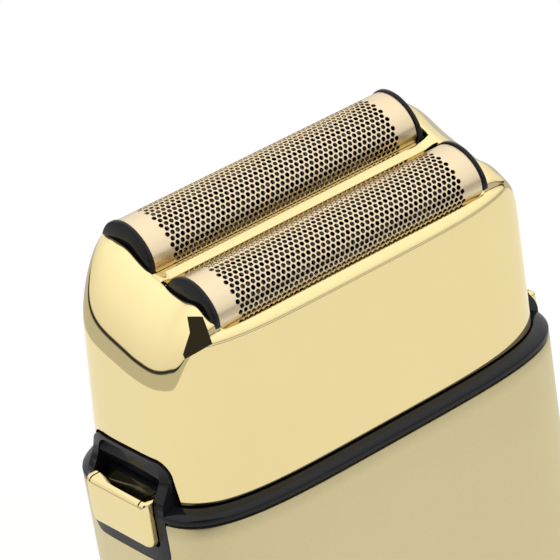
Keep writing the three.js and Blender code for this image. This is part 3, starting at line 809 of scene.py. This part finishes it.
# ---- Trim ring and release buttons ----
def ring_band():
    section = [(0.06, 0.0), (0.0, 0.08), (0.0, 0.62), (0.05, 0.8), (0.18, 0.96), (0.42, 1.12), (0.75, 1.28)]
    section += [(1.15, 1.4), (1.55, 1.5), (1.68, 1.5), (1.9, 1.3), (3.0, 1.3), (3.0, 0.0)]
    rings = []
    for inset, height in section:
        xy = outline(RING_X - inset, RING_Y - inset, CORNER_POWER)
        rings.append(level(xy, RING_LOW + height))
    return outward(hollow_loft("trim_ring_band", rings))


def surround_solid(side):
    """The black frame of one release button, cut to the body's curve and sloped in above the ring."""
    plan = rounded_rectangle(BEZEL_HALF_Y, BEZEL_LOW, BEZEL_HIGH, 1.7, 2.2, 12)
    rings = [np.column_stack([np.full(len(plan), x), plan]) for x in (BEZEL_INNER_X, 34.0)]
    block = outward(capped_loft(f"surround_{side}", [on_side(ring, side) for ring in rings]))
    heights = [BEZEL_LOW - 1, RING_HIGH, 78.6, 79.2, 79.9, 80.6, 81.3, 82.1, BEZEL_HIGH + 1]
    insets = [0.0, 0.04, 0.14, 0.36, 0.74, 1.12, 1.40, 1.56, 1.74]
    skin = []
    for z, inset in zip(heights, insets):
        skin.append(level(outline(RING_X - inset, RING_Y - inset, CORNER_POWER, 240), z))
    combine(block, outward(capped_loft("skin", skin)), "INTERSECT")
    return block


def scoop_cutter(side):
    """The thumb recess over the button: it leans back above its crease and is undercut below it."""
    top = BEZEL_HIGH - 0.42
    depth_at = [(BUTTON_HIGH - 0.4, 28.5), (81.1, 29.9), (top, 29.3)]
    plan = rounded_rectangle(6.2, BUTTON_HIGH - 0.4, top, 0.1, 1.9, 12)
    heights, depths = zip(*depth_at)
    back_x = np.interp(plan[:, 1], heights, depths)
    back_x = back_x + 0.4 * np.abs(plan[:, 0] / 6.2) ** 8
    rings = [np.column_stack([back_x, plan]), np.column_stack([np.full(len(plan), 34.5), plan])]
    return outward(capped_loft("scoop", [on_side(ring, side) for ring in rings]))


def pocket_cutter(side):
    plan = rounded_rectangle(BUTTON_HALF_Y + 0.22, BUTTON_LOW - 0.22, BUTTON_HIGH + 0.22, 0.7, 0.7, 6)
    rings = [np.column_stack([np.full(len(plan), x), plan]) for x in (26.0, 35.0)]
    return outward(capped_loft("pocket", [on_side(ring, side) for ring in rings]))


def trim_ring():
    ring = ring_band()
    for side in ENDS.values():
        combine(ring, surround_solid(side), "UNION")
        combine(ring, scoop_cutter(side), "DIFFERENCE")
        combine(ring, pocket_cutter(side), "DIFFERENCE")
    ring.name = "trim_ring_moulding"
    return piece(ring, "gloss_black", "body", ["trim_ring"], math.radians(30))


def button_back_x(y):
    """The gold cap's inner edge, cut away in an arc behind the thumb's place."""
    return 30.55 - 0.7 * (y / BUTTON_HALF_Y) ** 2


def release_button(end, side):
    bevel = 0.75
    rings = []
    plan = rounded_rectangle(BUTTON_HALF_Y, BUTTON_LOW, BUTTON_HIGH, 0.9, 0.45, 6)
    rings.append(np.column_stack([button_back_x(plan[:, 0]), plan]))
    for angle in np.linspace(0, math.pi / 2, 6):
        inset = bevel * (1 - math.cos(angle))
        x = BUTTON_FACE_X - bevel + bevel * math.sin(angle)
        foot, crown = BUTTON_LOW + inset, BUTTON_HIGH - inset
        shape = rounded_rectangle(BUTTON_HALF_Y - inset, foot, crown, 0.9, 0.45, 6)
        rings.append(np.column_stack([np.full(len(shape), x), shape]))
    cap = outward(capped_loft(f"{end}_release_cap", [on_side(ring, side) for ring in rings]))
    for end_y in (-1, 1):
        slot = []
        for x in (29.0, 34.0):
            across = np.array([4.85, 5.1, 5.1, 4.85]) * end_y
            heights = BUTTON_HIGH + np.array([-0.5, -0.5, 0.5, 0.5])
            slot.append(on_side(np.column_stack([np.full(4, x), across, heights]), side))
        combine(cap, outward(capped_loft("slot", slot)), "DIFFERENCE")
    piece(cap, "mirror_gold", f"{end}_button", [f"{end}_release_button"], math.radians(50))
    plan = rounded_rectangle(BUTTON_HALF_Y - 0.1, BUTTON_LOW + 0.1, BUTTON_HIGH - 0.15, 0.4, 0.4, 4)
    rings = [
        np.column_stack([np.full(len(plan), 26.9), plan]),
        np.column_stack([button_back_x(plan[:, 0]) - 0.02, plan]),
    ]
    carrier = outward(capped_loft(f"{end}_release_carrier", [on_side(ring, side) for ring in rings]))
    piece(carrier, "gloss_black", f"{end}_button")


# ---- Body ----
def body_outline(z, inset):
    draw = 1 - 0.04 * max(0.0, 1 - z / 62) ** 2
    return level(outline(RING_X * draw - inset, RING_Y * draw - inset, CORNER_POWER), z)


def body_shell():
    low, high = SHELL_LOW.z, SHELL_HIGH.z
    levels = np.linspace(low + 0.3, high - 0.3, 40)
    rings = [body_outline(low, 0.25)] + [body_outline(z, 0) for z in levels]
    rings += [body_outline(high - 0.08, 0.08), body_outline(high, 0.28)]
    rings += [body_outline(z, 1.5) for z in (high, 62, 44, 28, 14, low)]
    shell = outward(hollow_loft("body_shell_skin", rings))
    for side in ENDS.values():
        plan = rounded_rectangle(BEZEL_HALF_Y + 0.12, BEZEL_LOW - 0.12, 82, 1.8, 0.2, 12)
        cutter_rings = [np.column_stack([np.full(len(plan), x), plan]) for x in (26, 36)]
        cutter_rings = [on_side(ring, side) for ring in cutter_rings]
        combine(shell, outward(capped_loft("surround_hole", cutter_rings)), "DIFFERENCE")
    low_corner, high_corner = box_mm("power_button")
    centre_z = (low_corner.z + high_corner.z) / 2
    circle = np.linspace(0, 2 * math.pi, 97)[:-1]
    ring_xz = [(6.4 * math.cos(a), 6.4 * math.sin(a) + centre_z) for a in circle]
    cutter_rings = [[(x, y, z) for x, z in ring_xz] for y in (-18, -12)]
    combine(shell, outward(capped_loft("button_hole", np.array(cutter_rings))), "DIFFERENCE")
    lens_low, lens_high = box_mm("indicator_lens")
    plan = rounded_rectangle(lens_high.x + 0.2, lens_low.z - 0.2, lens_high.z + 0.2, 0.9, 0.9, 8)
    cutter_rings = [np.column_stack([plan[:, 0], np.full(len(plan), y), plan[:, 1]]) for y in (-18, -12)]
    combine(shell, outward(capped_loft("lens_hole", cutter_rings)), "DIFFERENCE")
    return piece(shell, "satin_gold", "body", ["body_shell"])


# ---- Bottom cap, power button, lens, socket and screws ----
CUTTER_SPRING_FOOT = -6.68  # height in the tilted frame of the bar the springs stand on


def turned(name, profile, matrix, count=96):
    """A solid of revolution about the matrix's Z axis, through pairs of radius and height."""
    angle = np.linspace(0, 2 * math.pi, count, endpoint=False)
    rings = []
    for radius, height in profile:
        circle = [radius * np.cos(angle), radius * np.sin(angle), np.full(count, height)]
        rings.append(np.column_stack(circle))
    return outward(capped_loft(name, [moved(ring, matrix) for ring in rings]))


def upright_at(x, y, z=0.0):
    return Matrix.Translation((x, y, z))


def centre_of(node):
    low, high = box_mm(node)
    return (low + high) / 2


def bottom_cap():
    """The black foot: a rounded lower edge, a shadow gap above it, and a plug inside the body."""
    edge = [(0.0, 1.2), (0.1, 0.8), (0.32, 0.45), (0.68, 0.18), (1.1, 0.04), (1.5, 0.0), (2.5, 0.0)]
    edge += [(2.64, 0.05), (2.7, 0.2), (2.7, 1.85), (5.2, 1.85)]
    cap = outward(capped_loft("bottom_cap_moulding", [body_outline(z, inset) for z, inset in edge]))
    socket = [(4.7, -1.0), (4.7, 0.0), (4.3, 0.4), (4.3, 8.0)]
    combine(cap, turned("socket_hole", socket, upright_at(0, 0)), "DIFFERENCE")
    for node in ("base_screw_1", "base_screw_2"):
        bore = [(2.35, -1.0), (2.35, 0.0), (2.1, 0.25), (2.1, 1.8), (1.3, 1.8), (1.3, 8.0)]
        place = upright_at(centre_of(node).x, centre_of(node).y)
        combine(cap, turned("screw_bore", bore, place, 48), "DIFFERENCE")
    return piece(cap, "gloss_black", "body", ["bottom_cap"])


def charging_socket():
    low, high = box_mm("charging_socket")
    radius = high.x
    cup = [(2.75, 8.0), (2.75, low.z + 0.25), (3.0, low.z), (radius - 0.2, low.z), (radius, low.z + 0.2)]
    cup += [(radius, high.z - 0.2), (radius - 0.2, high.z)]
    piece(turned("charging_socket_cup", cup, upright_at(0, 0)), "matte_black", "body", ["charging_socket"])
    pin = [(0.8, 8.5), (0.8, 2.3), (0.7, 2.0), (0.45, 1.8)]
    piece(turned("charging_socket_pin", pin, upright_at(0, 0), 32), "steel", "body")


def power_button():
    """A polished round key with a rounded rim and a shallow dish for the thumb."""
    low, high = box_mm("power_button")
    face, back = -low.y, -high.y
    flange = high.x
    radius = flange - 1.0
    profile = [(1.5, back), (1.5, back + 0.2), (flange - 0.1, back + 0.2), (flange, back + 0.3)]
    profile += [(flange, back + 0.65), (flange - 0.1, back + 0.75), (radius, back + 0.75)]
    for angle in np.linspace(0, math.pi / 2, 6):
        profile.append((radius - 0.35 * (1 - math.cos(angle)), face - 0.35 * (1 - math.sin(angle))))
    profile.append((radius - 0.75, face))
    for share in np.linspace(1, 0.05, 12):
        profile.append(((radius - 0.95) * share, face - 0.08 - 0.42 * (1 - share**2)))
    turn = Matrix.Translation((0, 0, centre_of("power_button").z)) @ Matrix.Rotation(math.pi / 2, 4, "X")
    return piece(turned("power_button_cap", profile, turn), "mirror_gold", "power_key", ["power_button"])


def indicator_lens():
    low, high = box_mm("indicator_lens")
    rings = []
    edge = ((0.3, 0.0), (0.12, 0.06), (0.02, 0.18), (0.0, 0.34))
    for y, inset in ((high.y, 0.0), *((low.y + depth, inset) for depth, inset in edge)):
        plan = rounded_rectangle(high.x - inset, low.z + inset, high.z - inset, 0.76 - inset, 0.76 - inset, 8)
        rings.append(np.column_stack([plan[:, 0], np.full(len(plan), y), plan[:, 1]]))
    lens = outward(capped_loft("indicator_lens_window", rings))
    return piece(lens, "clear_lens", "body", ["indicator_lens"])


def recess_blade(angle, half_length, half_width, top, depth, matrix):
    """One arm of a screw's cross, narrower at the bottom."""
    rings = []
    for z, share in ((top - depth, 0.55), (top + 0.2, 1.0)):
        x, y = half_length * share, half_width * (0.5 + 0.5 * share)
        corners = np.array([(-x, -y, z), (x, -y, z), (x, y, z), (-x, y, z)])
        rings.append(moved(corners, matrix @ Matrix.Rotation(angle, 4, "Z")))
    return outward(capped_loft("recess", rings))


def screw(node, head_height, head_down=False):
    """A domed cross-headed screw with a ringed shank."""
    low, high = box_mm(node)
    radius = (high.x - low.x) / 2
    length = high.z - low.z - head_height
    profile = [(0.3, -length), (0.75, -length + 0.5)]
    for z in np.arange(-length + 0.7, -0.5, 0.5):
        profile += [(0.95, z), (0.78, z + 0.25)]
    profile += [(0.95, 0.0), (radius - 0.1, 0.0), (radius, 0.08), (radius, 0.4 * head_height)]
    profile += [(radius * 0.93, 0.68 * head_height), (radius * 0.75, 0.88 * head_height)]
    profile += [(radius * 0.4, head_height)]
    centre = centre_of(node)
    matrix = upright_at(centre.x, centre.y, high.z - head_height)
    if head_down:
        matrix = upright_at(centre.x, centre.y, low.z + head_height) @ Matrix.Rotation(math.pi, 4, "X")
    solid = turned(f"{node}_fastener", profile, matrix, 32)
    for angle in (math.radians(20), math.radians(110)):
        blade = recess_blade(angle, 1.15, 0.24, head_height, 0.75, matrix)
        combine(solid, blade, "DIFFERENCE")
    return piece(solid, "steel", "body", [node])


def softened(node, material, body, width):
    """A copy of a CAD solid with its edges rounded off, to stand in for it."""
    obj = bpy.data.objects.new(f"{node}_moulding", frame["nodes"][node].data.copy())
    bpy.context.scene.collection.objects.link(obj)
    shape = bmesh.new()
    shape.from_mesh(obj.data)
    bmesh.ops.remove_doubles(shape, verts=shape.verts, dist=0.001 * MM)
    bmesh.ops.dissolve_limit(shape, angle_limit=math.radians(0.5), verts=shape.verts, edges=shape.edges)
    shape.to_mesh(obj.data)
    shape.free()
    bevelled(obj, width)
    return piece(obj, material, body, [node])


def coil(name, radius, wire, height, turns, matrix):
    """A round wire wound along the matrix's Z axis, with its end turns lying close."""
    rings = []
    section = np.linspace(0, 2 * math.pi, 11)[:-1]
    for t in np.linspace(0, 1, 28 * turns + 1):
        angle = 2 * math.pi * turns * t
        rise = wire + (height - 2 * wire) * (0.6 * t + 0.4 * float(smoothstep(t, 0.1, 0.9)))
        out = radius + wire * np.cos(section)
        rings.append(
            np.column_stack([out * math.cos(angle), out * math.sin(angle), rise + wire * np.sin(section)])
        )
    return outward(capped_loft(name, [moved(ring, matrix) for ring in rings]))


def release_spring(end, side):
    """The coil behind a release button."""
    node = f"{end}_release_spring"
    low, high = box_mm(node)
    foot = Vector((side * min(abs(low.x), abs(high.x)), 0, centre_of(node).z))
    matrix = Matrix.Translation(foot) @ Matrix.Rotation(side * math.pi / 2, 4, "Y")
    spring = coil(f"{end}_release_coil", 1.85, 0.27, 3.1, 4, matrix)
    piece(spring, "spring_steel", "body", [node])
    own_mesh(spring)


def cutter_spring(row, centre_y, end):
    """The coil that holds a cutter up against its foil."""
    node = f"{row}_cutter_{end}_spring"
    matrix = FROM_TILTED @ Matrix.Translation((centre_of(node).x, centre_y, CUTTER_SPRING_FOOT))
    spring = coil(f"{row}_cutter_{end}_coil", 1.1, 0.2, 3.05, 4, matrix)
    piece(spring, "spring_steel", f"{row}_drive", [node])
    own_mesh(spring)


def soften_inner_pieces():
    softened("drive_deck", "matte_black", "body", 0.35)
    softened("hair_seal", "seal_rubber", "body", 0.3)
    softened("foil_frame", "matte_black", "head", 0.12)
    for row in ROWS:
        softened(f"{row}_post_seal", "seal_rubber", "body", 0.3)
        softened(f"{row}_oscillator", "white_plastic", f"{row}_drive", 0.2)
        softened(f"{row}_cutter_carrier", "white_plastic", f"{row}_blades", 0.2)


# ---- CAD pieces that keep their shape ----
def finish_cad_node(node, material):
    obj = frame["nodes"][node]
    obj.data.materials.clear()
    obj.data.materials.append(MATERIALS[material])


def carry_over():
    for row in frame["record"]["subparts"]:
        finish_cad_node(row["node"], row["material_slot"])


# ---- Stage ----
FLOOR_RADIUS = 0.235
FLOOR_HEIGHT_MM = -0.02
CAMERA_AZIMUTH = math.radians(-35.46)
CAMERA_ELEVATION = math.radians(27.45)
CAMERA_ROLL = math.radians(-9.19)
CAMERA_DISTANCE = 0.4532
CAMERA_AIM = Vector((0.0, 0.0045, 0.0924))
CAMERA_LENS = 229.0


def add_camera():
    data = bpy.data.cameras.new("camera")
    data.lens = CAMERA_LENS
    data.sensor_width = 36.0
    data.clip_end = 20.0
    camera = bpy.data.objects.new("camera", data)
    bpy.context.scene.collection.objects.link(camera)
    turn = Matrix.Rotation(CAMERA_AZIMUTH, 4, "Z")
    turn = turn @ Matrix.Rotation(math.pi / 2 - CAMERA_ELEVATION, 4, "X")
    turn = turn @ Matrix.Rotation(CAMERA_ROLL, 4, "Z")
    camera.matrix_world = Matrix.Translation(CAMERA_AIM) @ turn @ Matrix.Translation((0, 0, CAMERA_DISTANCE))
    bpy.context.scene.camera = camera


def add_floor():
    circle = np.linspace(0, 2 * math.pi, 129)[:-1]
    plan = FLOOR_RADIUS / MM * np.column_stack([np.cos(circle), np.sin(circle)])
    ring = level(plan, FLOOR_HEIGHT_MM)
    floor = new_object("floor", ring, [tuple(range(len(ring)))])
    m = Nodes("floor_paper")
    m.set(Roughness=0.9)
    paper = m.colours(m.noise(30, 3), (0.80, 0.80, 0.795), (0.82, 0.82, 0.815))
    m.link(paper, m.shader.inputs["Base Color"])
    floor.data.materials.append(m.material)


# The grey of the studio by the height of a direction, from -1 straight down to 1 straight up.
FILL_BY_HEIGHT = ((-1.0, 0.62), (-0.07, 0.62), (0.015, 0.95), (0.35, 1.08), (1.0, 1.40))
GAP_BY_HEIGHT = ((-1.0, 1.0), (-0.08, 1.0), (-0.055, 0.06), (0.004, 0.02), (0.02, 1.0))
GAP_FREE_SIDE = (1, 1, 0)  # towards the rear right, where the horizon has no dark gap
GAP_FADE = (0.7, 1.0)  # how far towards that side the gap starts and stops fading out
DARK_SIDE = (-0.684, -0.661, 0.309)  # the middle of the studio's dark side, beside the camera
DARK_CORE = math.radians(19)
DARK_EDGE = math.radians(31)
DARK_LEVEL = 0.03


def height_ramp(tree, height, stops):
    """A grey by height, from pairs of height and grey."""
    ramp = tree.nodes.new("ShaderNodeValToRGB")
    tree.links.new(height, ramp.inputs["Fac"])
    elements = ramp.color_ramp.elements
    elements.remove(elements[0])
    for index, (z, value) in enumerate(stops):
        place = (z + 1) / 2
        element = elements[0] if index == 0 else elements.new(place)
        element.position = place
        element.color = (value, value, value, 1)
    return ramp.outputs["Color"]


def fade_towards(tree, direction, side, start, end, level_there):
    """1 away from one side of the studio, falling smoothly to a lower level towards it."""
    along = tree.nodes.new("ShaderNodeVectorMath")
    along.operation = "DOT_PRODUCT"
    along.inputs[1].default_value = side
    tree.links.new(direction, along.inputs[0])
    fade = tree.nodes.new("ShaderNodeMapRange")
    fade.interpolation_type = "SMOOTHSTEP"
    sockets = {"From Min": start, "From Max": end, "To Min": 1.0, "To Max": level_there}
    for name, value in sockets.items():
        fade.inputs[name].default_value = value
    tree.links.new(along.outputs["Value"], fade.inputs["Value"])
    return fade.outputs["Result"]


def add_world():
    """A pale studio, bright above, with one dark side and a thin dark gap along part of the horizon.

    The gold reflects this studio, and the camera itself sees plain white.
    """
    world = bpy.data.worlds.new("studio")
    bpy.context.scene.world = world
    world.use_nodes = True
    tree = world.node_tree
    tree.nodes.clear()
    direction = tree.nodes.new("ShaderNodeTexCoord").outputs["Generated"]
    split = tree.nodes.new("ShaderNodeSeparateXYZ")
    tree.links.new(direction, split.inputs[0])
    height = tree.nodes.new("ShaderNodeMapRange")
    height.inputs["From Min"].default_value = -1
    height.inputs["From Max"].default_value = 1
    tree.links.new(split.outputs["Z"], height.inputs["Value"])
    gapped = tree.nodes.new("ShaderNodeMix")
    gapped.data_type = "RGBA"
    gapped.blend_type = "MULTIPLY"
    gap_share = fade_towards(tree, direction, GAP_FREE_SIDE, *GAP_FADE, 0.0)
    tree.links.new(gap_share, gapped.inputs[0])
    tree.links.new(height_ramp(tree, height.outputs["Result"], FILL_BY_HEIGHT), gapped.inputs[6])
    tree.links.new(height_ramp(tree, height.outputs["Result"], GAP_BY_HEIGHT), gapped.inputs[7])
    lit = tree.nodes.new("ShaderNodeBackground")
    tree.links.new(gapped.outputs[2], lit.inputs["Color"])
    edge, core = math.cos(DARK_EDGE), math.cos(DARK_CORE)
    strength = fade_towards(tree, direction, DARK_SIDE, edge, core, DARK_LEVEL)
    tree.links.new(strength, lit.inputs["Strength"])
    plain = tree.nodes.new("ShaderNodeBackground")
    plain.inputs["Color"].default_value = (1, 1, 1, 1)
    seen = tree.nodes.new("ShaderNodeLightPath").outputs["Is Camera Ray"]
    mix = tree.nodes.new("ShaderNodeMixShader")
    tree.links.new(seen, mix.inputs[0])
    tree.links.new(lit.outputs[0], mix.inputs[1])
    tree.links.new(plain.outputs[0], mix.inputs[2])
    output = tree.nodes.new("ShaderNodeOutputWorld")
    tree.links.new(mix.outputs[0], output.inputs["Surface"])


SOFTBOX_SIZE = 0.9
SOFTBOX_POWER = 1.5
SOFTBOX_PLACE = Vector((-0.35, -0.1, 1.1))
SOFTBOX_AIM = Vector((0, 0, 0.05))


def add_light():
    data = bpy.data.lights.new("softbox", "AREA")
    data.shape = "DISK"
    data.size = SOFTBOX_SIZE
    data.energy = SOFTBOX_POWER
    light = bpy.data.objects.new("softbox", data)
    bpy.context.scene.collection.objects.link(light)
    light.visible_glossy = False
    light.location = SOFTBOX_PLACE
    light.rotation_euler = (SOFTBOX_AIM - SOFTBOX_PLACE).to_track_quat("-Z", "Y").to_euler()


def build():
    add_camera()
    carry_over()
    head_cover()
    head_bar()
    for row, centre_y in ROWS.items():
        foil(row, centre_y)
        cutter(row, centre_y)
        for end, side in ENDS.items():
            foil_cap(row, centre_y, end, side)
            cutter_spring(row, centre_y, end)
    trim_ring()
    for end, side in ENDS.items():
        release_button(end, side)
        release_spring(end, side)
    body_shell()
    bottom_cap()
    charging_socket()
    power_button()
    indicator_lens()
    for number in (1, 2, 3, 4):
        screw(f"deck_screw_{number}", 1.2)
    for number in (1, 2):
        screw(f"base_screw_{number}", 1.1, head_down=True)
    soften_inner_pieces()
    add_floor()
    add_world()
    add_light()
    bpy.context.scene.view_settings.view_transform = "Standard"


build()
